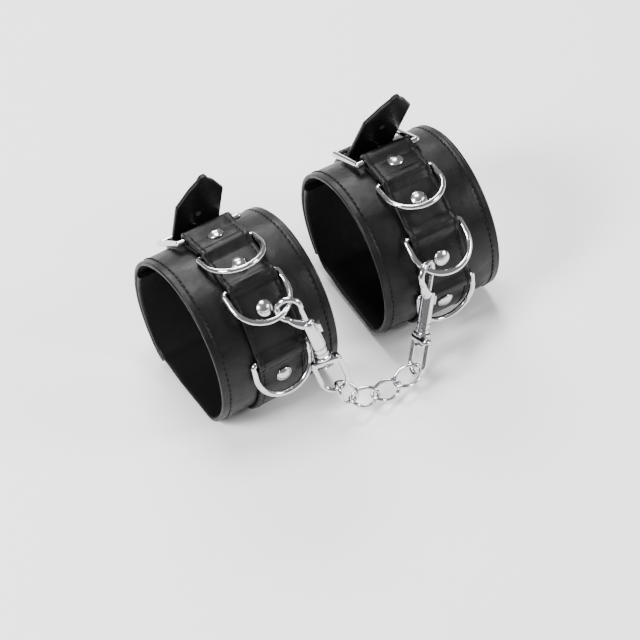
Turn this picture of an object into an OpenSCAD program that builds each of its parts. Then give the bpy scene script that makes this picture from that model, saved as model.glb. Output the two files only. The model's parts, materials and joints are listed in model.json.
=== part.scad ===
// Pair of leather wrist cuffs joined by a short chain with two swivel bolt snaps.
// Millimetres. X runs along both cuffs' own axes, -Y is the front, +Z is up.
// The origin is on the table, under the middle of the left cuff.

/* [Cuff] */
// Width of the leather band
band_w = 62; // [56:1:68]
// Half width of the wrist opening, front to back
section_a = 36.7; // [36:0.1:38]
// Height of the wrist opening above its middle
section_b = 38.6; // [38:0.1:40]
// Depth of the flattened bottom below the opening's middle
section_h = 30; // [29.5:0.1:30.5]
// Thickness of the lining
lining_t = 1.2; // [1:0.1:1.3]
// Thickness of the outer leather
shell_t = 1.4; // [1.2:0.1:1.5]
// Angle where the left band's outer end stops, from the top towards the front
flap_end_left = 216; // [214:1:220]
// The same angle on the right band
flap_end_right = 229; // [224:1:232]

/* [Strap] */
// Width of the strap
strap_w = 25; // [24:0.5:25.5]
// Thickness of the strap
strap_t = 2.2; // [2:0.1:2.3]
// Length of the free tail up to its shoulders, left cuff
tail_left = 21; // [16:1:26]
// The same length on the right cuff
tail_right = 25; // [16:1:26]
// Length of the tail's point beyond the shoulders
tail_point = 12.7; // [9:0.1:15]
// Rise of the tail away from the cuff's surface
tail_rise = 34; // [30:1:38]
// Sideways lean of the left tail
tail_lean_left = 12; // [0:1:16]
// Sideways lean of the right tail
tail_lean_right = 15; // [0:1:20]

/* [Rings and rivets] */
// Wire thickness of the D-rings
ring_wire = 2.8; // [2.4:0.1:2.8]
// Angles of the left rings' bars
ring_angles_left = [-5, 26, 76.5]; // [-6:0.5:78]
// Angles of the right rings' bars
ring_angles_right = [9.5, 49.6, 92]; // [9:0.5:93]
// Rise of each left ring above the surface's tangent
ring_rise_left = [10, 6.8, 2]; // [0:0.1:12]
// Rise of each right ring above the surface's tangent
ring_rise_right = [10, 18.5, 2]; // [0:0.1:20]
// Angles of the left rivets
rivet_angles_left = [-16, 13, 44.5, 93]; // [-17:0.5:94]
// Angles of the right rivets
rivet_angles_right = [-1.5, 28.5, 69, 106]; // [-2:0.5:107]
// Diameter of a rivet's cap
rivet_d = 8; // [7:0.1:8]

/* [Snap and chain] */
// Diameter of the snap's barrel
barrel_d = 6.4; // [6.2:0.1:6.8]
// Travel of the snap's bolt
bolt_travel = 8; // [6:0.5:8]
// Wire thickness of the chain
link_wire = 1.9; // [1.7:0.1:1.9]
// Half length of a link between wire centres
link_a = 7.2; // [7:0.1:7.4]
// Half width of a link between wire centres
link_b = 4.55; // [4.4:0.05:4.7]
// Headings of the four links in plan, from +X towards +Y
link_heading = [-19.5, -6.3, -2.6, 1.3]; // [-20:0.1:5]
// Slopes of the four links, up from level
link_slope = [-55.7, -22, -2, 19.6]; // [-60:0.1:20]
// Roll of the links about their own length
link_roll = 38; // [35:1:50]

/* [Hidden] */
$fn = 48;

leather = [0.06, 0.06, 0.065];
leather_inside = [0.11, 0.11, 0.115];
nickel = [0.78, 0.78, 0.8];
spring_steel = [0.62, 0.62, 0.65];

// ---- layers, as distances outward from the wrist side ----
band_t = lining_t + shell_t;
lap = band_t + 0.15;                    // room that the outer flap leaves over the inner end
strap_out = band_t + strap_t;
table_gap = section_h + strap_out;      // height of the opening's middle above the table
inner_end = 290;
overlap_from = -70;                     // the flap is fully outside from here back
overlap_start = -20;                    // and starts to move outward here
blend_c = 2.5;

// ---- rings ----
ring_r = ring_wire / 2;
ring_bar_out = band_t + ring_r + 0.1;
ring_half_w = 14.35;
ring_leg = 7;
bump = ring_bar_out + ring_r + 0.1 - band_t;

// ---- buckle ----
wire = 3;
fold_in = wire / 2 + 0.1;
fold_out = fold_in + strap_t;
heel_before_rivet = 10;
heel_out = band_t + 0.35 + fold_out;    // height of the heel bar's centre
frame_span = 33;                        // angle from the heel bar back to the front bar
frame_half_w = 15.8;
tail_leaves = 27;                       // angle behind the heel bar where the tail leaves
front_out = wire / 2 + 0.25;            // front bar's centre above the strap
prong_d = 2.4;
prong_hole = 3.4;

// ---- snap, in its own frame: z = 0 at the claw's inner top, barrel on the z axis ----
claw_x = -5;                            // middle of the claw's bend
claw_in = 3.9;                          // inner radius of the bend
claw_r = 1.5;                           // half thickness of the claw
claw_gap = 0.7;                         // the ring's wire below the inner top
gate_top = -5;
barrel_top = -13.5;
barrel_end = -33;
collar_end = -34.4;
bridge_top = -34.7;
bridge_t = 3.2;
stud_end = -40.6;
eye_r = 1.2;
eye_half_w = 6.3;
eye_centre = -47.2;                     // middle of the eye's round end
eye_end = eye_centre - eye_half_w;      // wire centre at the eye's lowest point
rod_d = 2.4;
rod_gap = 0.08;
plunger_d = 3.9;
bore_d = 4.1;
plunger_top = -15;
plunger_len = 4.5;
bore_end = -32;
hang_gap = 0.45;

// ---- vectors ----
function unit(v) = v / norm(v);
function mix(a, b, u) = a + (b - a) * u;
function smooth(u) = let(c = min(1, max(0, u))) c * c * (3 - 2 * c);
function spin_z(v, a) = [v[0] * cos(a) - v[1] * sin(a), v[0] * sin(a) + v[1] * cos(a), v[2]];

// ---- the wrist opening: an ellipse pressed flat at the bottom ----
function pressed(z) = z <= -section_h - blend_c ? -section_h
    : z >= -section_h + blend_c ? z
    : -section_h + pow(z + section_h + blend_c, 2) / (4 * blend_c);
function lift(t) = let(u = (t + 720) % 360) 1.8 * smooth((u - 186) / 24) * (1 - smooth((u - 240) / 50));
function sec(t) = [-section_a * sin(t), pressed(section_b * cos(t)) + lift(t)];
function tang(t) = unit(sec(t + 0.5) - sec(t - 0.5));
function outw(t) = [tang(t)[1], -tang(t)[0]];
function off(t, d) = sec(t) + d * outw(t);
function tilt(t) = atan2(-outw(t)[0], outw(t)[1]);

// ---- paths round the cuff ----
function lap_at(t) = t >= overlap_start ? 0 : lap * smooth((overlap_start - t) / (overlap_start - overlap_from));
function band_angles(flap_end) = [for (t = [inner_end : -4 : flap_end - 360 + 2]) t, flap_end - 360];
function layer(flap_end, d0, d1) = let(ts = band_angles(flap_end)) concat(
    [for (t = ts) off(t, lap_at(t) + d0)],
    [for (i = [len(ts) - 1 : -1 : 0]) off(ts[i], lap_at(ts[i]) + d1)]);

// the strap's inner side above the wrist side, at angle t running forward from the heel bar
function arc_mm(a, b) = (a - b) * PI / 180 * (section_a + section_b) / 2 * 1.1;
function hill(t, at, h) = h * exp(-pow(max(0, abs(arc_mm(t, at)) - 0.8) / 2.6, 2));
function strap_lap(t, flap_end) = t < flap_end - 11 ? lap_at(t)
    : t < flap_end - 0.5 ? lap * smooth((t - flap_end + 11) / 10.5) : lap_at(t - 360);
function ply_rise(t, rings) = let(end = rings[0] + 1) t > end + 8 ? 0
    : (strap_t + 0.15) * (1 - smooth((t - end) / 8));
function heel_rise(t, heel) = (heel_out + fold_in - band_t - strap_t - 0.15) * (1 - smooth((t - heel) / 8.5));
function strap_in(t, heel, rings, flap_end) = band_t + strap_lap(t, flap_end)
    + max(ply_rise(t, rings) + heel_rise(t, heel),
          max([for (r = rings) hill(t, r, bump)]));

function tail_at(heel) = heel + 360 - tail_leaves;

// ---- placing of the snaps: z_dir runs from the eye to the claw ----
function dir(az, el) = [cos(el) * cos(az), cos(el) * sin(az), sin(el)];
function side_dir(az, el, roll) = cos(roll) * [-sin(az), cos(az), 0]
    + sin(roll) * [-sin(el) * cos(az), -sin(el) * sin(az), cos(el)];
module snap_frame(o, x, z) {
    y = cross(z, x);
    multmatrix([[x[0], y[0], z[0], o[0]], [x[1], y[1], z[1], o[1]], [x[2], y[2], z[2], o[2]], [0, 0, 0, 1]])
        children();
}
// a point on a ring's wire, in the cuff's frame, at an angle round its bend
function ring_dir(t, rise) = let(v = cos(rise) * tang(t) + sin(rise) * outw(t)) [0, v[0], v[1]];
function ring_point(t, rise, phi) = let(p = off(t, ring_bar_out))
    [ring_half_w * sin(phi), p[0], p[1]] + (ring_leg + ring_half_w * cos(phi)) * ring_dir(t, rise);

left_phi = 36.2;                        // where the claw sits round the ring's bend
left_az = 113.8;                        // heading of the snap's axis
left_el = 68.1;                         // slope of the snap's axis
left_roll = 131.1;                      // turn of the snap about its axis
left_turn = 0;                       // turn of the eye on the snap
right_phi = -50.5;
right_az = 38.1;
right_roll = 260.2;
right_turn = 56;
right_yaw = -2.6;                       // heading of the right cuff

// left snap
lz = dir(left_az, left_el);
lx = side_dir(left_az, left_el, left_roll);
left_wire = ring_point(ring_angles_left[1], ring_rise_left[1], left_phi) + [0, 0, table_gap];
left_o = left_wire + lz * (ring_r + claw_gap) - lx * claw_x;
left_eye_end = left_o + lz * eye_end;

// the chain, from the left eye to the right one
function link_dir(i) = dir(link_heading[i], link_slope[i]);
function link_near(i) = i == 0
    ? left_eye_end - (eye_r + link_wire / 2 + hang_gap) * unit(link_dir(0) - lz)
    : link_far(i - 1) - (link_wire + hang_gap) * unit(link_dir(i - 1) + link_dir(i));
function link_far(i) = link_near(i) + 2 * link_a * link_dir(i);
function link_mid(i) = link_near(i) + link_a * link_dir(i);

// right snap: its slope closes the height to the right middle ring, and its foot places the cuff
right_eye_end = link_far(3) - (eye_r + link_wire / 2 + hang_gap + 1.4) * unit(link_dir(3) + dir(right_az, 60));
right_wire_local = ring_point(ring_angles_right[1], ring_rise_right[1], right_phi);
reach = -(ring_r + claw_gap) - eye_end;
side_reach = claw_x * sin(right_roll);
rise_needed = right_wire_local[2] + table_gap - right_eye_end[2];
right_el = asin(rise_needed / norm([reach, side_reach])) - atan2(side_reach, reach);
rz = dir(right_az, right_el);
rx = side_dir(right_az, right_el, right_roll);
right_o = right_eye_end - rz * eye_end;
right_wire = right_o - rz * (ring_r + claw_gap) + rx * claw_x;
right_at = right_wire - spin_z(right_wire_local, right_yaw);

// ---- frames on the cuff: x along the axis, y back along the surface, z outward ----
module at(t, d) {
    p = off(t, d);
    translate([0, p[0], p[1]]) rotate([tilt(t), 0, 0]) children();
}
// an outline in the cuff's Y-Z plane, drawn out along X
module across(w, outline) {
    rotate([90, 0, 90]) linear_extrude(w, center = true) polygon(outline);
}
module bar_x(len, r) {
    rotate([0, 90, 0]) cylinder(h = len, r = r, center = true);
}
module left_place() {
    translate([0, 0, table_gap]) children();
}
module right_place() {
    translate(right_at) rotate([0, 0, right_yaw]) children();
}

// ---- leather ----
module rivet_holes(angles, d = 3.2) {
    for (t = angles) at(t, -2) cylinder(h = 14, d = d);
}
module lining(flap_end, rivets) {
    color(leather_inside) difference() {
        across(band_w, layer(flap_end, 0, lining_t - 0.02));
        rivet_holes(rivets);
    }
}
module shell(flap_end, rivets) {
    color(leather) difference() {
        across(band_w, layer(flap_end, lining_t, band_t));
        rivet_holes(rivets);
    }
}
// the ply under the rivets, the fold round the heel bar, the outer run and the start of the tail, as one strip
module strap_run(heel, rings, flap_end) {
    under = [for (t = [rings[0] - 5.4 : -1.5 : heel + 2]) t];
    ts = [for (t = [heel + 1.3 : 2 : tail_at(heel) - 1]) t, tail_at(heel)];
    bend = [0 : 15 : 180];
    t = tail_at(heel);
    along = cos(tail_rise) * tang(t) + sin(tail_rise) * outw(t);
    out = cos(tail_rise) * outw(t) - sin(tail_rise) * tang(t);
    root = off(t, strap_in(t, heel, rings, flap_end) + strap_t / 2) + 3 * along;
    across(strap_w, concat(
        [for (t = under) off(t, band_t + lap_at(t) + 0.05)],
        [for (a = bend) heel_pos(heel) - fold_out * (cos(a) * outw(heel) + sin(a) * tang(heel))],
        [for (t = ts) off(t, strap_in(t, heel, rings, flap_end) + strap_t)],
        [root + strap_t / 2 * out, root - strap_t / 2 * out],
        [for (i = [len(ts) - 1 : -1 : 0]) off(ts[i], strap_in(ts[i], heel, rings, flap_end) + 0.06)],
        [for (a = [180 : -15 : 0]) heel_pos(heel) - fold_in * (cos(a) * outw(heel) + sin(a) * tang(heel))],
        [for (i = [len(under) - 1 : -1 : 0]) off(under[i], band_t + lap_at(under[i]) + strap_t + 0.05)]));
}
function tail_outline(len, lean) = let(k = tan(lean), s = strap_w / 2) [
    [-s + 0.4, 1], [s - 0.4, 1], [s + k * 4, 4], [s + k * len, len],
    [2.5 + k * (len + tail_point), len + tail_point - 1], [k * (len + tail_point), len + tail_point],
    [-2.5 + k * (len + tail_point), len + tail_point - 1], [-s + k * len, len], [-s + k * 4, 4]
];
module tail(heel, rings, flap_end, len, lean) {
    t = tail_at(heel);
    d = strap_in(t, heel, rings, flap_end) + strap_t / 2;
    at(t, d) {
        rotate([-tail_rise, 0, 0]) rotate([0, 0, 180]) difference() {
            translate([0, 0, 0.06 - strap_t / 2]) linear_extrude(strap_t - 0.12) mirror([1, 0])
                polygon(tail_outline(len, lean));
            for (v = [len - 9, len - 22]) if (v > 6)
                translate([-v * tan(lean), v, -strap_t]) cylinder(h = 2 * strap_t, d = 2.2);
        }
    }
}
module prong_path(heel, flap_end, rings) {
    on_frame(heel, flap_end, rings) for (a = [0, 3, 6])
        rotate([a, 0, 0]) translate([-prong_hole / 2, 1, 0.2]) cube([prong_hole, 24, prong_d + 0.9]);
}
module strap(heel, rings, rivets, flap_end, len, lean) {
    color(leather) difference() {
        union() {
            strap_run(heel, rings, flap_end);
            tail(heel, rings, flap_end, len, lean);
        }
        rivet_holes(rivets);
        at(rivets[0], cap_out(rivets[0], heel, rings, flap_end) + 0.08) cylinder(h = 5, d = rivet_d + 0.3);
        at(heel, heel_out) translate([-2, -3.4, -fold_out - 0.5]) cube([4, fold_out + 4.4, 2 * fold_out + 1]);
        prong_path(heel, flap_end, rings);
    }
}

// ---- rivets ----
function cap_out(t, heel, rings, flap_end) = strap_in(t, heel, rings, flap_end) + strap_t;
module rivet(t, out) {
    at(t, out) {
        intersection() {
            translate([0, 0, 2.2 - 5.0]) sphere(r = 5);
            translate([0, 0, 0.12]) cylinder(h = 4, d = rivet_d);
        }
        translate([0, 0, -out - 0.7]) cylinder(h = out + 1.2, d = 3);
    }
}
module rivets(angles, heel, rings, flap_end) {
    color(nickel) for (t = angles) rivet(t, cap_out(t, heel, rings, flap_end));
}
module rivet_backs(angles) {
    color(nickel) for (t = angles) at(t, -1.1) difference() {
        cylinder(h = 0.8, d = rivet_d);
        translate([0, 0, 0.15]) cylinder(h = 2, d = 3.04);
    }
}

// ---- D-rings ----
module d_ring(t, rise) {
    color(nickel) at(t, ring_bar_out) rotate([-rise, 0, 0]) {
        bar_x(2 * ring_half_w, ring_r);
        for (s = [-1, 1]) translate([s * ring_half_w, 0, 0]) {
            sphere(r = ring_r);
            rotate([90, 0, 0]) cylinder(h = ring_leg, r = ring_r);
        }
        translate([0, -ring_leg, 0]) rotate([0, 0, 180]) rotate_extrude(angle = 180)
            translate([ring_half_w, 0]) circle(r = ring_r);
    }
}

// ---- buckle ----
function front_at(heel) = heel - frame_span;
function front_pos(heel, flap_end, rings) = let(t = front_at(heel))
    off(t, band_t + lap_at(t) + strap_t + front_out);
function heel_pos(heel) = off(heel, heel_out);
function frame_len(heel, flap_end, rings) = norm(front_pos(heel, flap_end, rings) - heel_pos(heel));
function frame_tilt(heel, flap_end, rings) =
    let(v = front_pos(heel, flap_end, rings) - heel_pos(heel)) atan2(v[1], v[0]);
// on_frame: origin at the heel bar, y towards the front bar, z outward
module on_frame(heel, flap_end, rings) {
    p = heel_pos(heel);
    translate([0, p[0], p[1]]) rotate([frame_tilt(heel, flap_end, rings), 0, 0]) children();
}
module buckle_frame(heel, flap_end, rings) {
    len = frame_len(heel, flap_end, rings);
    color(nickel) on_frame(heel, flap_end, rings) for (y = [0, len]) {
        translate([0, y, 0]) bar_x(2 * frame_half_w, wire / 2);
        for (s = [-1, 1]) translate([s * frame_half_w, y, 0]) sphere(r = wire / 2);
        for (s = [-1, 1]) if (y == 0) translate([s * frame_half_w, 0, 0])
            rotate([-90, 0, 0]) cylinder(h = len, r = wire / 2);
    }
}
module buckle_prong(heel, flap_end, rings) {
    len = frame_len(heel, flap_end, rings);
    drop = atan2(wire / 2 + 0.1 - 0.5, len);
    color(nickel) on_frame(heel, flap_end, rings) difference() {
        union() {
            bar_x(3, 2.6);
            translate([0, 0, 0.5 + prong_d / 2]) rotate([drop - 90, 0, 0]) cylinder(h = len + 1.2, d = prong_d);
        }
        bar_x(4, wire / 2 + 0.06);
    }
}

// ---- bolt snap ----
module claw() {
    translate([claw_x, 0, -claw_in]) rotate([90, 0, 0]) rotate_extrude(angle = 250)
        translate([claw_in + claw_r, 0]) circle(r = claw_r);
    translate([claw_x + claw_in + claw_r, 0, gate_top]) cylinder(h = -gate_top - claw_in, r = claw_r);
    translate([0, claw_r, 0]) rotate([90, 0, 0]) linear_extrude(2 * claw_r) polygon([
        [-9.2, -8], [-6, -8.1], [-3.6, -9.6], [-1.7, -10.8], [-1.7, -12.8], [barrel_d / 2 - 0.5, -12.8],
        [barrel_d / 2 - 0.5, -15], [-3.1, -18]]);
}
module snap_body() {
    color(nickel) difference() {
        union() {
            claw();
            translate([0, 0, barrel_end]) cylinder(h = barrel_top - barrel_end, d = barrel_d);
            translate([0, 0, collar_end]) cylinder(h = 1.6, d = 8.4);
            translate([0, 0, stud_end]) cylinder(h = collar_end - stud_end + 1, d = 3.4);
            translate([0, 0, stud_end]) cylinder(h = 2.3, d = 5.8);
        }
        translate([0, 0, bore_end]) cylinder(h = barrel_top - bore_end - 1, d = bore_d);
        translate([0, 0, barrel_top - 2]) cylinder(h = 8, d = rod_d + 2 * rod_gap);
        translate([0, -1.1, plunger_top - plunger_len - bolt_travel + 1.5])
            cube([6, 2.2, plunger_len + bolt_travel - 1.5]);
    }
}
module snap_bolt() {
    color(nickel) {
        translate([0, 0, plunger_top - 1]) cylinder(h = gate_top - 0.15 - plunger_top + 1, d = rod_d);
        translate([0, 0, plunger_top - plunger_len]) cylinder(h = plunger_len, d = plunger_d);
        translate([0, -0.95, plunger_top - 2.6]) cube([4.9, 1.9, 2.0]);
        translate([4, -2, plunger_top - 4.6]) cube([1.4, 4, 4]);
    }
}
// a helix drawn as one tube
module snap_spring() {
    turns = 7;
    steps = 14;
    r = plunger_d / 2 - 0.35;
    w = 0.24;
    top = plunger_top - plunger_len - 0.3;
    low = bore_end + 0.3;
    n = turns * steps;
    rings = [for (i = [0 : n]) let(a = 360 * i / steps, z = mix(low, top, i / n))
        for (k = [0 : 5]) let(b = 60 * k) [
            (r + w * cos(b)) * cos(a), (r + w * cos(b)) * sin(a), z + w * sin(b)]];
    faces = concat(
        [for (i = [0 : n - 1], k = [0 : 5]) let(m = (k + 1) % 6)
            [i * 6 + k, i * 6 + m, (i + 1) * 6 + m, (i + 1) * 6 + k]],
        [[for (k = [5 : -1 : 0]) k], [for (k = [0 : 5]) n * 6 + k]]);
    color(spring_steel) polyhedron(rings, faces);
}
module swivel_eye(turn) {
    color(nickel) rotate([0, 0, turn]) {
        difference() {
            translate([-eye_half_w, -2.3, bridge_top - bridge_t]) cube([2 * eye_half_w, 4.6, bridge_t]);
            translate([0, 0, -60]) cylinder(h = 60, d = 3.4 + 0.12);
        }
        for (s = [-1, 1]) translate([s * eye_half_w, 0, eye_centre])
            cylinder(h = bridge_top - 0.4 - eye_centre, r = eye_r);
        translate([0, 0, eye_centre]) rotate([-90, 0, 0]) rotate_extrude(angle = 180)
            translate([eye_half_w, 0]) circle(r = eye_r);
    }
}

module chain_link(i) {
    color(nickel) snap_frame(link_mid(i), link_side(i), link_dir(i)) twisted_link();
}
function link_side(i) = side_dir(link_heading[i], link_slope[i], link_roll);
// one curb link along z: its width turns by a quarter from end to end
module twisted_link() {
    n = 40;
    m = 10;
    function centre(a) = let(s = link_a * cos(a), w = link_b * sin(a), q = 45 * s / link_a)
        [w * cos(q), w * sin(q), s];
    pts = [for (i = [0 : n - 1]) let(a = 360 * i / n, c = centre(a),
            t = unit(centre(a + 2) - centre(a - 2)),
            u = unit(cross(t, cross(c, t) == [0, 0, 0] ? [0, 0, 1] : [-sin(45 * c[2] / link_a),
                cos(45 * c[2] / link_a), 0])), v = cross(t, u))
        for (k = [0 : m - 1]) c + link_wire / 2 * (cos(360 * k / m) * u + sin(360 * k / m) * v)];
    faces = [for (i = [0 : n - 1], k = [0 : m - 1]) let(j = (i + 1) % n, l = (k + 1) % m)
        [i * m + k, j * m + k, j * m + l, i * m + l]];
    polyhedron(pts, faces);
}

// ---- sub-parts ----
heel_left = rivet_angles_left[0] - heel_before_rivet;
heel_right = rivet_angles_right[0] - heel_before_rivet;

module left_lining() { left_place() lining(flap_end_left, rivet_angles_left); }
module left_shell() { left_place() shell(flap_end_left, rivet_angles_left); }
module left_strap() {
    left_place() strap(heel_left, ring_angles_left, rivet_angles_left, flap_end_left, tail_left, tail_lean_left);
}
module left_rivets() { left_place() rivets(rivet_angles_left, heel_left, ring_angles_left, flap_end_left); }
module left_rivet_backs() { left_place() rivet_backs(rivet_angles_left); }
module left_ring(i) { left_place() d_ring(ring_angles_left[i], ring_rise_left[i]); }
module left_buckle_frame() { left_place() buckle_frame(heel_left, flap_end_left, ring_angles_left); }
module left_buckle_prong() { left_place() buckle_prong(heel_left, flap_end_left, ring_angles_left); }
module left_snap() { snap_frame(left_o, lx, lz) children(); }

module right_lining() { right_place() lining(flap_end_right, rivet_angles_right); }
module right_shell() { right_place() shell(flap_end_right, rivet_angles_right); }
module right_strap() {
    right_place() strap(heel_right, ring_angles_right, rivet_angles_right, flap_end_right, tail_right,
        tail_lean_right);
}
module right_rivets() { right_place() rivets(rivet_angles_right, heel_right, ring_angles_right, flap_end_right); }
module right_rivet_backs() { right_place() rivet_backs(rivet_angles_right); }
module right_ring(i) { right_place() d_ring(ring_angles_right[i], ring_rise_right[i]); }
module right_buckle_frame() { right_place() buckle_frame(heel_right, flap_end_right, ring_angles_right); }
module right_buckle_prong() { right_place() buckle_prong(heel_right, flap_end_right, ring_angles_right); }
module right_snap() { snap_frame(right_o, rx, rz) children(); }

left_lining();
left_shell();
left_strap();
left_rivets();
left_rivet_backs();
left_ring(0);  // left_ring_top
left_ring(1);  // left_ring_middle
left_ring(2);  // left_ring_lower
left_buckle_frame();
left_buckle_prong();
left_snap() snap_body();  // left_snap_body
left_snap() snap_bolt();  // left_snap_bolt
left_snap() snap_spring();  // left_snap_spring
left_snap() swivel_eye(left_turn);  // left_swivel_eye
chain_link(0);  // chain_link_1
chain_link(1);  // chain_link_2
chain_link(2);  // chain_link_3
chain_link(3);  // chain_link_4
right_snap() swivel_eye(right_turn);  // right_swivel_eye
right_snap() snap_body();  // right_snap_body
right_snap() snap_bolt();  // right_snap_bolt
right_snap() snap_spring();  // right_snap_spring
right_lining();
right_shell();
right_strap();
right_rivets();
right_rivet_backs();
right_ring(0);  // right_ring_top
right_ring(1);  // right_ring_middle
right_ring(2);  // right_ring_lower
right_buckle_frame();
right_buckle_prong();
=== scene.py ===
import bpy, json, math
from mathutils import Vector, Matrix


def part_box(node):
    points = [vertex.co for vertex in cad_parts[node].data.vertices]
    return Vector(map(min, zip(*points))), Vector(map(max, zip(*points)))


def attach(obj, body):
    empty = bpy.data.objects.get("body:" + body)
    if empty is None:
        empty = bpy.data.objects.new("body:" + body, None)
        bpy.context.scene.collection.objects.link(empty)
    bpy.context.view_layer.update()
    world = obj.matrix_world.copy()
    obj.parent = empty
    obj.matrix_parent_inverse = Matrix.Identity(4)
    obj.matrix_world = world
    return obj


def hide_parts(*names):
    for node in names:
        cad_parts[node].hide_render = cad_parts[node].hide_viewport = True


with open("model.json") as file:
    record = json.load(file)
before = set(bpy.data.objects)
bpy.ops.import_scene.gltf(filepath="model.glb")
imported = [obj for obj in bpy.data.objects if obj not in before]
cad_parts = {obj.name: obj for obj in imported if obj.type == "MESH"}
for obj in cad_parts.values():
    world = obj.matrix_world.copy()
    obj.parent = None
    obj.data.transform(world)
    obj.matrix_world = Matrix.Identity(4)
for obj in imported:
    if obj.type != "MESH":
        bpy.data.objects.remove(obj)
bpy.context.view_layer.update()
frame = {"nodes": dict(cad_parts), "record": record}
nodes = frame["nodes"]
record = frame["record"]
joints = {j["name"]: j for j in record["behaviour"]["joints"]}
mounts = {m["name"]: m for m in record["mounts"]}
MM = 0.001

# ---- camera ----
cam = bpy.data.cameras.new("camera")
cam_ob = bpy.data.objects.new("camera", cam)
bpy.context.scene.collection.objects.link(cam_ob)
bpy.context.scene.camera = cam_ob
cam.lens = 177.7
cam.sensor_width = 36
cam_at = Vector((-0.4325, -0.8987, 1.109))
cam_right = Vector((0.855, -0.512, -0.084))
cam_back = (cam_at - Vector((0.032, -0.021, 0.030))).normalized()
cam_up = cam_back.cross(cam_right).normalized()
cam_right = cam_up.cross(cam_back).normalized()
cam_ob.matrix_world = Matrix.Translation(cam_at) @ Matrix((cam_right, cam_up, cam_back)).transposed().to_4x4()

# ---- the cuff's section, in millimetres ----
A, B, H, BLEND = 36.7, 38.6, 30.0, 2.5
LINING, BAND = 1.2, 2.6
LAP = BAND + 0.15
STRAP_T, STRAP_W, BAND_W = 2.2, 25.0, 62.0
TABLE = H + BAND + STRAP_T
RING_R, BAR_OUT = 1.4, 4.1
HALF_W, LEG = 14.35, 7.0
BUMP = BAR_OUT + RING_R + 0.1 - BAND
FOLD_IN, FOLD_OUT = 1.6, 3.8
HEEL_OUT = BAND + 0.35 + FOLD_OUT

def smooth(u):
    c = min(1.0, max(0.0, u))
    return c * c * (3 - 2 * c)

def sind(a): return math.sin(math.radians(a))
def cosd(a): return math.cos(math.radians(a))

def pressed(z):
    if z <= -H - BLEND:
        return -H
    if z >= -H + BLEND:
        return z
    return -H + (z + H + BLEND) ** 2 / (4 * BLEND)

def lift(t):
    u = (t + 720) % 360
    return 1.8 * smooth((u - 186) / 24) * (1 - smooth((u - 240) / 50))

def sec(t):
    return Vector((-A * sind(t), pressed(B * cosd(t)) + lift(t)))

def tang(t):
    return (sec(t + 0.5) - sec(t - 0.5)).normalized()

def outw(t):
    v = tang(t)
    return Vector((v[1], -v[0]))

def off(t, d):
    return sec(t) + outw(t) * d

def lap_at(t):
    return 0 if t >= -20 else LAP * smooth((-20 - t) / 50)

def hill(t, at, h):
    s = abs((t - at) * math.pi / 180 * (A + B) / 2 * 1.1)
    return h * math.exp(-(max(0, s - 0.8) / 2.6) ** 2)

class Cuff:
    def __init__(self, name, at, xdir, flap_end, rings, rises, rivets, tail, lean):
        self.name, self.at, self.x = name, Vector(at), Vector(xdir).normalized()
        self.y = Vector((-self.x[1], self.x[0], 0))
        self.flap_end, self.rings, self.rises, self.rivets = flap_end, rings, rises, rivets
        self.tail, self.lean = tail, lean
        self.heel = rivets[0] - 10
        self.tail_at = self.heel + 333

    def world(self, x, p):
        return (self.at + self.x * x + self.y * p[0] + Vector((0, 0, p[1]))) * MM

    def strap_lap(self, t):
        e = self.flap_end
        if t < e - 11:
            return lap_at(t)
        if t < e - 0.5:
            return LAP * smooth((t - e + 11) / 10.5)
        return lap_at(t - 360)

    def strap_in(self, t):
        end = self.rings[0] + 1
        ply = 0 if t > end + 8 else (STRAP_T + 0.15) * (1 - smooth((t - end) / 8))
        heel = (HEEL_OUT + FOLD_IN - BAND - STRAP_T - 0.15) * (1 - smooth((t - self.heel) / 8.5))
        return BAND + self.strap_lap(t) + max(ply + heel, max(hill(t, r, BUMP) for r in self.rings))

right_rest = mounts["right_rest"]["pos_m"]
xr = joints["right_middle_ring_hinge"]["axis"]
CUFFS = [
    Cuff("left", (0, 0, TABLE), (1, 0, 0), 216, (-5, 26, 76.5), (10, 6.8, 2), (-16, 13, 44.5, 93), 21, 12),
    Cuff("right", (right_rest[0] / MM, right_rest[1] / MM, TABLE), xr, 229, (9.5, 49.6, 92), (10, 18.5, 2),
         (-1.5, 28.5, 69, 106), 25, 15),
]

# ---- meshes ----
def mesh(name, verts, faces, body, mats, smooth_angle=40, face_mats=None):
    me = bpy.data.meshes.new(name)
    me.from_pydata([tuple(v) for v in verts], [], faces)
    me.validate()
    for m in mats:
        me.materials.append(m)
    if face_mats:
        for p, k in zip(me.polygons, face_mats):
            p.material_index = k
    me.update()
    for p in me.polygons:
        p.use_smooth = True
    me.set_sharp_from_angle(angle=math.radians(smooth_angle))
    ob = bpy.data.objects.new(name, me)
    bpy.context.scene.collection.objects.link(ob)
    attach(ob, body)
    return ob

def loft(rows, closed_ends=True, ring=False):
    """Faces through rows of equal length, each a closed loop; ring joins the last row to the first."""
    m = len(rows[0])
    verts = [v for r in rows for v in r]
    n = len(rows)
    faces = []
    for i in range(n if ring else n - 1):
        a, b = i * m, ((i + 1) % n) * m
        for k in range(m):
            l = (k + 1) % m
            faces.append((a + k, a + l, b + l, b + k))
    if closed_ends and not ring:
        faces.append(tuple(range(m - 1, -1, -1)))
        faces.append(tuple((n - 1) * m + k for k in range(m)))
    return verts, faces

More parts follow.
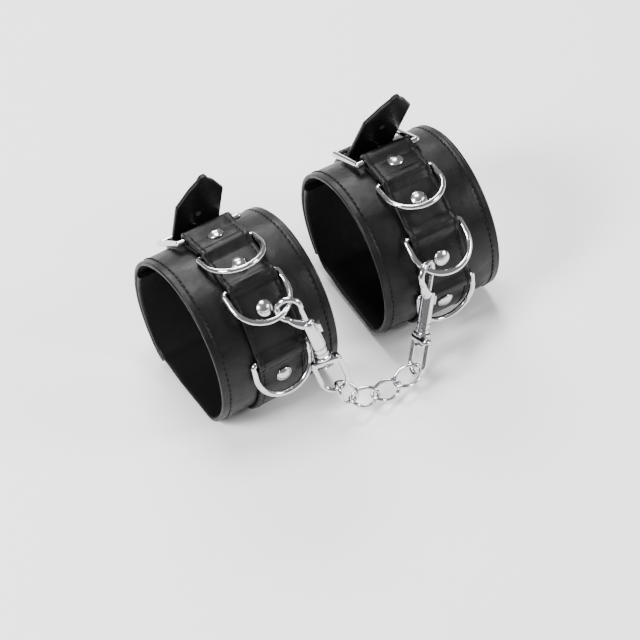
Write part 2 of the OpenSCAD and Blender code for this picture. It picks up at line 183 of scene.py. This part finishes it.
def tube(points, radius, closed=False, sides=20, up=None):
    """A round tube along points; radius is a number or one per point."""
    n = len(points)
    rows = []
    u = None
    for i, p in enumerate(points):
        a = points[(i - 1) % n] if closed or i > 0 else p
        b = points[(i + 1) % n] if closed or i < n - 1 else p
        t = (b - a).normalized()
        if u is None:
            u = up if up else t.orthogonal()
        u = (u - t * u.dot(t)).normalized()
        v = t.cross(u)
        r = radius[i] if isinstance(radius, list) else radius
        rows.append([p + (u * math.cos(2 * math.pi * k / sides) + v * math.sin(2 * math.pi * k / sides)) * r
                     for k in range(sides)])
    if closed:
        # undo the small twist that builds up round the loop
        first, last = rows[0], rows[-1]
        best = min(range(sides), key=lambda s: sum((first[k] - last[(k + s) % sides]).length for k in range(0, sides, 3)))
        turn = best
        rows = [[r[(k + round(turn * i / (n - 1))) % sides] for k in range(sides)] for i, r in enumerate(rows)]
    return loft(rows, ring=closed)

def lathe(profile, origin, x, z, sides=48):
    """Turns (radius, height) pairs about z through origin."""
    y = z.cross(x)
    rows = []
    for r, h in profile:
        r = max(r, 0.004)
        rows.append([origin + (x * math.cos(2 * math.pi * k / sides) + y * math.sin(2 * math.pi * k / sides)) * r * MM
                     + z * h * MM for k in range(sides)])
    return loft(rows)

def merge(parts):
    verts, faces = [], []
    for v, f in parts:
        n = len(verts)
        verts += v
        faces += [tuple(i + n for i in q) for q in f]
    return verts, faces

# ---- materials ----
def material(name):
    m = bpy.data.materials.new(name)
    m.use_nodes = True
    nt = m.node_tree
    bsdf = nt.nodes["Principled BSDF"]
    tc = nt.nodes.new("ShaderNodeTexCoord")
    return m, nt, bsdf, tc

def noise(nt, tc, scale, detail=3, rough=0.5):
    n = nt.nodes.new("ShaderNodeTexNoise")
    n.inputs["Scale"].default_value = scale
    n.inputs["Detail"].default_value = detail
    n.inputs["Roughness"].default_value = rough
    nt.links.new(tc.outputs["Object"], n.inputs["Vector"])
    return n

def ranged(nt, socket, lo, hi):
    r = nt.nodes.new("ShaderNodeMapRange")
    r.inputs["From Min"].default_value = 0.3
    r.inputs["From Max"].default_value = 0.7
    r.inputs["To Min"].default_value = lo
    r.inputs["To Max"].default_value = hi
    nt.links.new(socket, r.inputs["Value"])
    return r.outputs["Result"]

def leather(name, colour, rough_lo, rough_hi, grain=0.18, pore=0.00012, spec=0.5):
    m, nt, bsdf, tc = material(name)
    big = noise(nt, tc, 55, 4)
    mix = nt.nodes.new("ShaderNodeMix")
    mix.data_type = "RGBA"
    mix.inputs[6].default_value = (*[c * 0.75 for c in colour], 1)
    mix.inputs[7].default_value = (*[c * 1.35 for c in colour], 1)
    nt.links.new(big.outputs["Fac"], mix.inputs[0])
    nt.links.new(mix.outputs[2], bsdf.inputs["Base Color"])
    nt.links.new(ranged(nt, noise(nt, tc, 170, 5, 0.6).outputs["Fac"], rough_lo, rough_hi), bsdf.inputs["Roughness"])
    bsdf.inputs["Specular IOR Level"].default_value = spec
    vor = nt.nodes.new("ShaderNodeTexVoronoi")
    vor.feature = "DISTANCE_TO_EDGE"
    vor.inputs["Scale"].default_value = 1100
    nt.links.new(tc.outputs["Object"], vor.inputs["Vector"])
    edge = nt.nodes.new("ShaderNodeMapRange")
    edge.inputs["From Max"].default_value = 0.25
    nt.links.new(vor.outputs["Distance"], edge.inputs["Value"])
    b1 = nt.nodes.new("ShaderNodeBump")
    b1.inputs["Strength"].default_value = grain
    b1.inputs["Distance"].default_value = pore
    nt.links.new(edge.outputs["Result"], b1.inputs["Height"])
    b2 = nt.nodes.new("ShaderNodeBump")
    b2.inputs["Strength"].default_value = 0.35
    b2.inputs["Distance"].default_value = 0.0009
    nt.links.new(noise(nt, tc, 120, 3).outputs["Fac"], b2.inputs["Height"])
    nt.links.new(b1.outputs["Normal"], b2.inputs["Normal"])
    nt.links.new(b2.outputs["Normal"], bsdf.inputs["Normal"])
    return m

def metal(name, colour, rough_lo, rough_hi):
    m, nt, bsdf, tc = material(name)
    bsdf.inputs["Metallic"].default_value = 1
    bsdf.inputs["Base Color"].default_value = (*colour, 1)
    nt.links.new(ranged(nt, noise(nt, tc, 260, 5, 0.65).outputs["Fac"], rough_lo, rough_hi), bsdf.inputs["Roughness"])
    b = nt.nodes.new("ShaderNodeBump")
    b.inputs["Strength"].default_value = 0.05
    b.inputs["Distance"].default_value = 0.0001
    nt.links.new(noise(nt, tc, 900, 2).outputs["Fac"], b.inputs["Height"])
    nt.links.new(b.outputs["Normal"], bsdf.inputs["Normal"])
    return m

BLACK = leather("smooth_black_leather", (0.002, 0.002, 0.0023), 0.34, 0.5, spec=0.22)
STRAP = leather("strap_leather", (0.0022, 0.0022, 0.0025), 0.36, 0.52, 0.22, spec=0.22)
INSIDE = leather("inside_leather", (0.0015, 0.0015, 0.0018), 0.65, 0.85, 0.3, spec=0.15)
RAW = leather("cut_edge", (0.02, 0.019, 0.018), 0.7, 0.85, 0.3)
THREAD = leather("black_thread", (0.002, 0.002, 0.0022), 0.6, 0.75, 0.1, spec=0.2)
CHROME = metal("polished_nickel", (0.62, 0.62, 0.64), 0.07, 0.16)
NICKEL = metal("nickel_plate", (0.58, 0.57, 0.57), 0.14, 0.26)
STEEL = metal("spring_steel", (0.55, 0.55, 0.57), 0.25, 0.4)

# ---- leather ----
def outline_x(profile):
    return profile

def band_profile(half, low, top):
    """Half outline across the width, (x, d), from the middle out over the rim and back underneath."""
    p = [(0, top), (half * 0.45, top), (half - 4.9, top)]
    p += [(half - 4.45, top - 0.05), (half - 4, top - 0.2), (half - 3.55, top - 0.05)]
    p += [(half - 2.2, top + 0.02), (half - 1.75, top - 0.12), (half - 1.3, top + 0.02)]
    r = (top - low) / 2
    for k in range(1, 8):
        a = 180 * k / 8
        p.append((half - r * 0.9 + r * 0.9 * sind(a), low + r + r * cosd(a)))
    p.append((half - 1.3, low))
    return p

def both_sides(half_profile):
    right = list(half_profile)
    left = [(-x, d) for x, d in reversed(half_profile)]
    return right + [(0, half_profile[-1][1])] + left[:-1]

def bumps(t, x, seed):
    return 0.09 * math.sin(t * 0.21 + x * 0.13 + seed) * math.sin(t * 0.083 - x * 0.21 + 2 * seed)

def band(c):
    body = c.name + "_cuff"
    ts = [290 - k for k in range(0, int(290 - (c.flap_end - 360)) + 1)]
    ring = both_sides(band_profile(BAND_W / 2, 0.35, BAND))
    rows = []
    for i, t in enumerate(ts):
        end = min(i, len(ts) - 1 - i)
        rows.append([c.world(x, off(t, lap_at(t) + d - (0.12 if d > 2 and end < 1 else 0)
                     - (max(0, bumps(t, x, 1.3 if c.name == "left" else 2.9)) if d > 2.3 else 0))) for x, d in ring])
    v, f = loft(rows)
    ob = mesh(c.name + "_band_leather", v, f, body, [BLACK], 50)
    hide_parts(c.name + "_shell")
    half = BAND_W / 2 - 1.4
    rows = [[c.world(x, off(t, lap_at(t) + d)) for x, d in
             ((-half, 0.1), (-half, LINING - 0.05), (half, LINING - 0.05), (half, 0.1), (half - 0.3, 0), (-half + 0.3, 0))]
            for t in ts]
    v, f = loft(rows)
    ob = mesh(c.name + "_band_lining", v, f, body, [INSIDE], 50)
    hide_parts(c.name + "_lining")

def stitch_run(c, points, step, length, r, lean):
    """Stitches along a list of (position, along, outward) samples."""
    parts = []
    dist, last = 0.0, 0.0
    for i in range(1, len(points)):
        p, along, out = points[i]
        dist += (p - points[i - 1][0]).length / MM
        if dist - last < step:
            continue
        last = dist
        side = along.cross(out)
        d = (along * math.cos(lean) + side * math.sin(lean)) * length / 2 * MM
        path = [p - d * 1.02 - out * 0.25 * MM, p - d * 0.8 + out * 0.1 * MM, p + out * 0.2 * MM,
                p + d * 0.8 + out * 0.1 * MM, p + d * 1.02 - out * 0.25 * MM]
        parts.append(tube(path, [r * 0.7 * MM, r * MM, r * 1.05 * MM, r * MM, r * 0.7 * MM], sides=8))
    return parts

def frame_at(c, t):
    tg, ow = tang(t), outw(t)
    return (c.y * tg[0] + Vector((0, 0, tg[1]))).normalized(), (c.y * ow[0] + Vector((0, 0, ow[1]))).normalized()

def band_stitches(c):
    parts = []
    for s in (-1, 1):
        x = s * (BAND_W / 2 - 4)
        pts = []
        t = 288.0
        while t > c.flap_end - 358:
            al, ou = frame_at(c, t)
            pts.append((c.world(x, off(t, lap_at(t) + BAND - 0.12)), al, ou))
            t -= 0.25
        parts += stitch_run(c, pts, 3.1, 2.35, 0.3, 0.12 * s)
    for e, tt in ((0, c.flap_end - 356.5),):
        al, ou = frame_at(c, tt)
        pts = [(c.world(-26 + 0.4 * k, off(tt, lap_at(tt) + BAND - 0.08)), c.x, ou) for k in range(131)]
        parts += stitch_run(c, pts, 3.1, 2.35, 0.3, 0.12)
    v, f = merge(parts)
    ob = mesh(c.name + "_band_stitches", v, f, c.name + "_cuff", [THREAD], 60)

def strap_path(c):
    """(point in the section, outward, distance along the tail) from the folded ply, round the heel bar, to the tail's tip."""
    path = []
    t = c.rings[0] - 5.5
    while t > c.heel + 0.4:
        path.append((off(t, BAND + lap_at(t) + 0.1 + STRAP_T / 2), -outw(t), None))
        t -= 1.0
    hc = off(c.heel, HEEL_OUT)
    o, tg = outw(c.heel), tang(c.heel)
    for k in range(0, 13):
        a = 180 * k / 12
        rad = -o * cosd(a) - tg * sind(a)
        path.append((hc + rad * (FOLD_IN + STRAP_T / 2), rad, None))
    t = c.heel + 0.7
    while t < c.tail_at - 0.4:
        path.append((off(t, c.strap_in(t) + 0.06 + STRAP_T / 2), outw(t), None))
        t += 0.7
    root = off(c.tail_at, c.strap_in(c.tail_at) + STRAP_T / 2)
    tg, o = tang(c.tail_at), outw(c.tail_at)
    a = 34
    up = tg * cosd(a) + o * sind(a)
    nrm = o * cosd(a) - tg * sind(a)
    total = c.tail + 12.7
    k = 0.0
    while k <= total - 0.1:
        bow = 0.5 * math.sin(math.pi * k / total)
        path.append((root + up * (k + 0.3) + nrm * bow * 0.4, nrm, k))
        k += 0.5
    path.append((root + up * (total - 0.15), nrm, total - 0.15))
    return path

def half_width(c, k):
    """Half the strap's width at distance k along the tail."""
    if k is None or k <= c.tail - 0.8:
        return STRAP_W / 2
    u = (k - c.tail) / 12.7
    if u < 0.03:
        return STRAP_W / 2 - 0.25 * smooth((k - c.tail + 0.8) / 1.2)
    w = (STRAP_W / 2 - 0.3) * (1 - u) + 2.2 * u
    tip = (1 - u) * 12.7
    return min(w, 2.4 * math.sqrt(max(0.0, 1 - (1 - min(1, tip / 2.2)) ** 2)) + max(0, tip - 2.2) * 1.2 + 0.15)

def strap(c):
    body = c.name + "_cuff"
    path = strap_path(c)
    rows = []
    h = STRAP_T / 2
    for p, o, k in path:
        hw = half_width(c, k)
        shift = 0 if k is None else k * math.tan(math.radians(c.lean))
        ring = []
        e = min(0.75, hw * 0.4)
        g = 2.4
        top = [(0, h), (hw * 0.5, h)]
        if hw > 6:
            top += [(hw - g - 0.5, h), (hw - g, h - 0.16), (hw - g + 0.5, h)]
        else:
            top += [(hw * 0.6, h), (hw * 0.65, h), (hw * 0.7, h)]
        top += [(hw - e, h), (hw - e * 0.3, h - e * 0.25), (hw, h - e), (hw, -h + e), (hw - e * 0.3, -h + e * 0.25), (hw - e, -h)]
        full = top + [(0, -h)] + [(-x, d) for x, d in reversed(top)][:-1]
        for x, d in full:
            q = p + o * d
            ring.append(c.world(x + shift, q))
        rows.append(ring)
    v, f = loft(rows)
    n = len(rows[0])
    ob = mesh(c.name + "_strap_leather", v, f, body, [STRAP], 50)
    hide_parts(c.name + "_strap")
    # stitches on the outer run and both sides of the tail
    parts = []
    for s in (-1, 1):
        pts = []
        prev = None
        for p, o, k in path[int(c.rings[0] - 5.5 - c.heel) + 16:]:
            if k is not None and k > c.tail - 2:
                break
            shift = 0 if k is None else k * math.tan(math.radians(c.lean))
            q = c.world(s * (STRAP_W / 2 - 2.4) + shift, p + o * (h - 0.1))
            ou = (c.y * o[0] + Vector((0, 0, o[1]))).normalized()
            if prev is not None and (q - prev).length > 1e-6:
                pts.append((q, (q - prev).normalized(), ou))
            prev = q
        fine = []
        for a, b in zip(pts, pts[1:]):
            for m in range(4):
                u = m / 4
                fine.append((a[0].lerp(b[0], u), a[1].lerp(b[1], u).normalized(), a[2].lerp(b[2], u).normalized()))
        parts += stitch_run(c, fine, 2.9, 2.2, 0.28, 0.12 * s)
    v, f = merge(parts)
    ob = mesh(c.name + "_strap_stitches", v, f, body, [THREAD], 60)
    # the tail's two punched holes, as dark sunk eyelets
    parts = []
    tg, o = tang(c.tail_at), outw(c.tail_at)
    up = tg * cosd(34) + o * sind(34)
    nrm = o * cosd(34) - tg * sind(34)
    root = off(c.tail_at, c.strap_in(c.tail_at) + STRAP_T / 2)
    for k in (c.tail - 9, c.tail - 22):
        if k > 6:
            q = root + up * (k + 0.3)
            w = c.world(k * math.tan(math.radians(c.lean)), q)
            zn = (c.y * nrm[0] + Vector((0, 0, nrm[1]))).normalized()
            for sgn in (1, -1):
                parts.append(lathe([(0.01, 1.12), (0.9, 1.12), (1.1, 1.22), (1.3, 1.12), (1.3, 1.0)], w, c.x, zn * sgn, 20))
    v, f = merge(parts)
    ob = mesh(c.name + "_tail_holes", v, f, body, [RAW], 60)

# ---- metal ----
def rivet_caps(c):
    caps, posts = [], []
    for t in c.rivets:
        al, ou = frame_at(c, t)
        o = c.world(0, off(t, c.strap_in(t) + STRAP_T))
        caps.append(lathe([(0.01, 0.12), (3.4, 0.12), (3.85, 0.18), (3.98, 0.38), (3.9, 0.6), (3.45, 0.95), (2.8, 1.4),
                           (2.0, 1.82), (1.0, 2.1), (0.01, 2.18)], o, c.x, ou, 48))
        d = c.strap_in(t) + STRAP_T
        posts.append(lathe([(0.01, -d - 0.6), (1.5, -d - 0.6), (1.5, 0.3), (0.01, 0.3)], o, c.x, ou, 24))
    v, f = merge(caps + posts)
    ob = mesh(c.name + "_rivet_caps", v, f, c.name + "_cuff", [NICKEL], 35)
    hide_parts(c.name + "_rivets")

def d_ring(c, i, label):
    t, rise = c.rings[i], c.rises[i]
    p = off(t, BAR_OUT)
    tg, ow = tang(t), outw(t)
    d = tg * cosd(rise) + ow * sind(rise)
    pts = []
    def P(x, s):
        return c.world(x, p + d * s)
    r = 1.5
    for k in range(0, 25):
        pts.append(P(-HALF_W + r + (2 * HALF_W - 2 * r) * k / 24, 0))
    for k in range(1, 8):
        pts.append(P(HALF_W - r + r * sind(90 * k / 8), r - r * cosd(90 * k / 8)))
    for k in range(0, 5):
        pts.append(P(HALF_W, r + (LEG - r) * k / 4))
    for k in range(1, 48):
        a = 180 * k / 48
        pts.append(P(HALF_W * cosd(a), LEG + HALF_W * sind(a)))
    for k in range(0, 5):
        pts.append(P(-HALF_W, LEG - (LEG - r) * k / 4))
    for k in range(1, 8):
        pts.append(P(-HALF_W + r - r * cosd(90 * k / 8), r - r * sind(90 * k / 8)))
    v, f = tube(pts, RING_R * MM, closed=True, sides=24)
    ob = mesh("%s_d_ring_%s" % (c.name, label), v, f, "%s_ring_%s" % (c.name, label), [CHROME], 60)
    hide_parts("%s_ring_%s" % (c.name, label))

def vec(v): return Vector(v)

def snap_axes(side):
    o = vec(joints[side + "_eye_swivel"]["pos_m"])
    z = vec(joints[side + "_eye_swivel"]["axis"]).normalized()
    wire = vec(joints[side + "_claw_hinge"]["pos_m"])
    x = ((wire - o + z * 2.1 * MM) / (-5 * MM)).normalized()
    return o, x, z, z.cross(x)

def snap(side):
    o, x, z, y = snap_axes(side)
    def P(a, b, cc): return o + (x * a + y * b + z * cc) * MM
    body = side + "_snap"
    # the claw: a bend that thins towards its tip
    pts, rad = [], []
    for k in range(0, 5):
        pts.append(P(0.4, 0, -4.95 + 1.05 * k / 4)); rad.append(1.35 * MM)
    for k in range(1, 60):
        a = 246 * k / 59
        pts.append(P(-5 + 5.4 * cosd(a), 0, -3.9 + 5.4 * sind(a)))
        rad.append((1.35 + 0.13 * smooth(k / 30)) * MM)
    for k in range(1, 13):
        u = k / 12
        q0, q1 = Vector((-7.2, -8.83)), Vector((-0.2, -15.2))
        mid = Vector((-6.3, -11.6))
        q = q0 * (1 - u) ** 2 + mid * 2 * u * (1 - u) + q1 * u * u
        pts.append(P(q[0], 0, q[1])); rad.append((1.48 + 1.1 * smooth(u)) * MM)
    claw = tube(pts, rad, sides=24, up=y)
    barrel = lathe([(1.36, -12.9), (2.1, -12.8), (2.7, -13.0), (3.1, -13.6), (3.2, -14.2), (3.2, -16.2)]
                   + [(3.2 - (0.22 if k % 2 else 0), -16.4 - 0.32 * k) for k in range(0, 1)]
                   + [(3.2, -27.4), (2.85, -27.7), (2.85, -28.2), (3.2, -28.5), (3.2, -30.1), (2.85, -30.4), (2.85, -30.9),
                      (3.2, -31.2), (3.2, -32.6), (3.9, -32.9), (4.2, -33.2), (4.2, -34.0), (3.8, -34.4), (1.7, -34.4),
                      (1.7, -38.3), (2.5, -38.4), (2.9, -38.8), (2.85, -39.5), (2.3, -40.2), (1.2, -40.55), (0.01, -40.6)],
                   o, x, z, 56)
    v, f = merge([claw, barrel])
    ob = mesh(side + "_snap_casting", v, f, body, [CHROME], 38)
    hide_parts(side + "_snap_body")
    # slot in the barrel's side, drawn only as a raised lip round it
    rows = []
    track = []
    for k in range(0, 33):
        a = 360 * k / 32
        track.append(P(3.12, 1.25 * cosd(a), -21.7 + (5.2 if sind(a) > 0 else -5.2) + 1.2 * sind(a)))
    v, f = tube(track[:-1], 0.26 * MM, closed=True, sides=8)
    ob = mesh(side + "_slot_lip", v, f, body, [CHROME], 60)

def eye(side):
    o, x, z, y = snap_axes(side)
    turn = {"left": 0.0, "right": 56.0}[side]
    ex = x * cosd(turn) + y * sind(turn)
    ey = z.cross(ex)
    def P(a, b, cc): return o + (ex * a + ey * b + z * cc) * MM
    pts, rad = [], []
    for s in (-1, 1):
        leg = []
        for k in range(0, 9):
            leg.append((s * 6.3, -37.4 - 9.8 * k / 8))
        if s == -1:
            pts += leg
        else:
            right = leg[::-1]
    arc = [(-6.3 * cosd(a), -47.2 - 6.3 * sind(a)) for a in range(6, 180, 6)]
    line = pts + arc + right
    v1 = tube([P(a, 0, b) for a, b in line], 1.22 * MM, sides=22, up=ey)
    # the bridge: a rounded bar round the stud
    rows = []
    for k in range(0, 25):
        u = -1 + 2 * k / 24
        xx = 7.3 * u
        w = 2.3 * math.sqrt(max(0.02, 1 - max(0, abs(u) - 0.72) ** 2 / 0.0784 * 0.95))
        hz = 1.55 * math.sqrt(max(0.05, 1 - max(0, abs(u) - 0.72) ** 2 / 0.0784 * 0.9))
        rows.append([P(xx, w * 1.0 * (1 if abs(cosd(b)) < 0.01 else 1) * cosd(b) * (1 / max(abs(cosd(b)), abs(sind(b)))) ** 0.55,
                       -36.3 + hz * sind(b) * (1 / max(abs(cosd(b)), abs(sind(b)))) ** 0.55) for b in range(0, 360, 15)])
    v2 = loft(rows)
    v, f = merge([v1, v2])
    ob = mesh(side + "_eye_casting", v, f, side + "_eye", [CHROME], 45)
    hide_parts(side + "_swivel_eye")

def links():
    near = vec(joints["link_1_hinge"]["pos_m"])
    for i in range(4):
        nxt = "link_%d_hinge" % (i + 2) if i < 3 else "right_eye_hinge"
        far = vec(joints[nxt]["pos_m"])
        tip = vec(joints[nxt]["axis"]).normalized()
        lo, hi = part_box("chain_link_%d" % (i + 1))
        if i > 0:
            # the near end mirrors the far end about the middle of the link's box
            near = (vec(lo) + vec(hi)) - far
        d = (far - near).normalized()
        side = (tip - d.cross(tip)).normalized()
        up = d.cross(side)
        mid = (near + far) / 2
        pts = []
        for k in range(96):
            a = 2 * math.pi * k / 96
            s, w = 7.2 * math.cos(a), 4.55 * math.sin(a)
            q = math.radians(45 * s / 7.2)
            pts.append(mid + (side * w * math.cos(q) + up * w * math.sin(q) + d * s) * MM)
        v, f = tube(pts, 0.95 * MM, closed=True, sides=20)
        ob = mesh("curb_link_%d" % (i + 1), v, f, "link_%d" % (i + 1), [CHROME], 60)
        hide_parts("chain_link_%d" % (i + 1))

for c in CUFFS:
    band(c)
    band_stitches(c)
    strap(c)
    rivet_caps(c)
    for i, label in enumerate(("top", "middle", "lower")):
        d_ring(c, i, label)
for side in ("left", "right"):
    snap(side)
    eye(side)
links()

# ---- carried-over nodes ----
for name, ob in nodes.items():
    m = STEEL if "spring" in name else NICKEL if "rivet" in name else CHROME
    ob.data.materials.clear()
    ob.data.materials.append(m)
    for p in ob.data.polygons:
        p.use_smooth = True
        p.material_index = 0
    ob.data.set_sharp_from_angle(angle=math.radians(35))

# ---- studio ----
me = bpy.data.meshes.new("floor")
me.from_pydata([(-4, -4, -0.0006), (4, -4, -0.0006), (4, 4, -0.0006), (-4, 4, -0.0006)], [], [(0, 1, 2, 3)])
floor = bpy.data.objects.new("floor", me)
bpy.context.scene.collection.objects.link(floor)
fm = bpy.data.materials.new("pale_floor")
fm.use_nodes = True
fm.node_tree.nodes["Principled BSDF"].inputs["Base Color"].default_value = (0.97, 0.97, 0.97, 1)
fm.node_tree.nodes["Principled BSDF"].inputs["Roughness"].default_value = 0.75
me.materials.append(fm)

def area(name, at, aim, size, power, size_y=None):
    li = bpy.data.lights.new(name, "AREA")
    li.shape = "RECTANGLE"
    li.size, li.size_y = size, size_y or size
    li.energy = power
    ob = bpy.data.objects.new(name, li)
    bpy.context.scene.collection.objects.link(ob)
    ob.location = at
    ob.rotation_euler = (Vector(at) - Vector(aim)).to_track_quat("Z", "Y").to_euler()

aim = (0.045, 0, 0.04)
area("key", (-0.8, -0.1, 0.8), aim, 0.35, 20)
area("fill", (0.8, -0.6, 0.6), aim, 0.3, 9)
area("back", (0.25, 0.9, 0.75), aim, 0.6, 12, 0.3)
area("over", (0.15, 0.35, 1.3), aim, 0.5, 17)
world = bpy.data.worlds.new("studio")
bpy.context.scene.world = world
world.use_nodes = True
world.node_tree.nodes["Background"].inputs["Color"].default_value = (1, 1, 1, 1)
world.node_tree.nodes["Background"].inputs["Strength"].default_value = 0.3
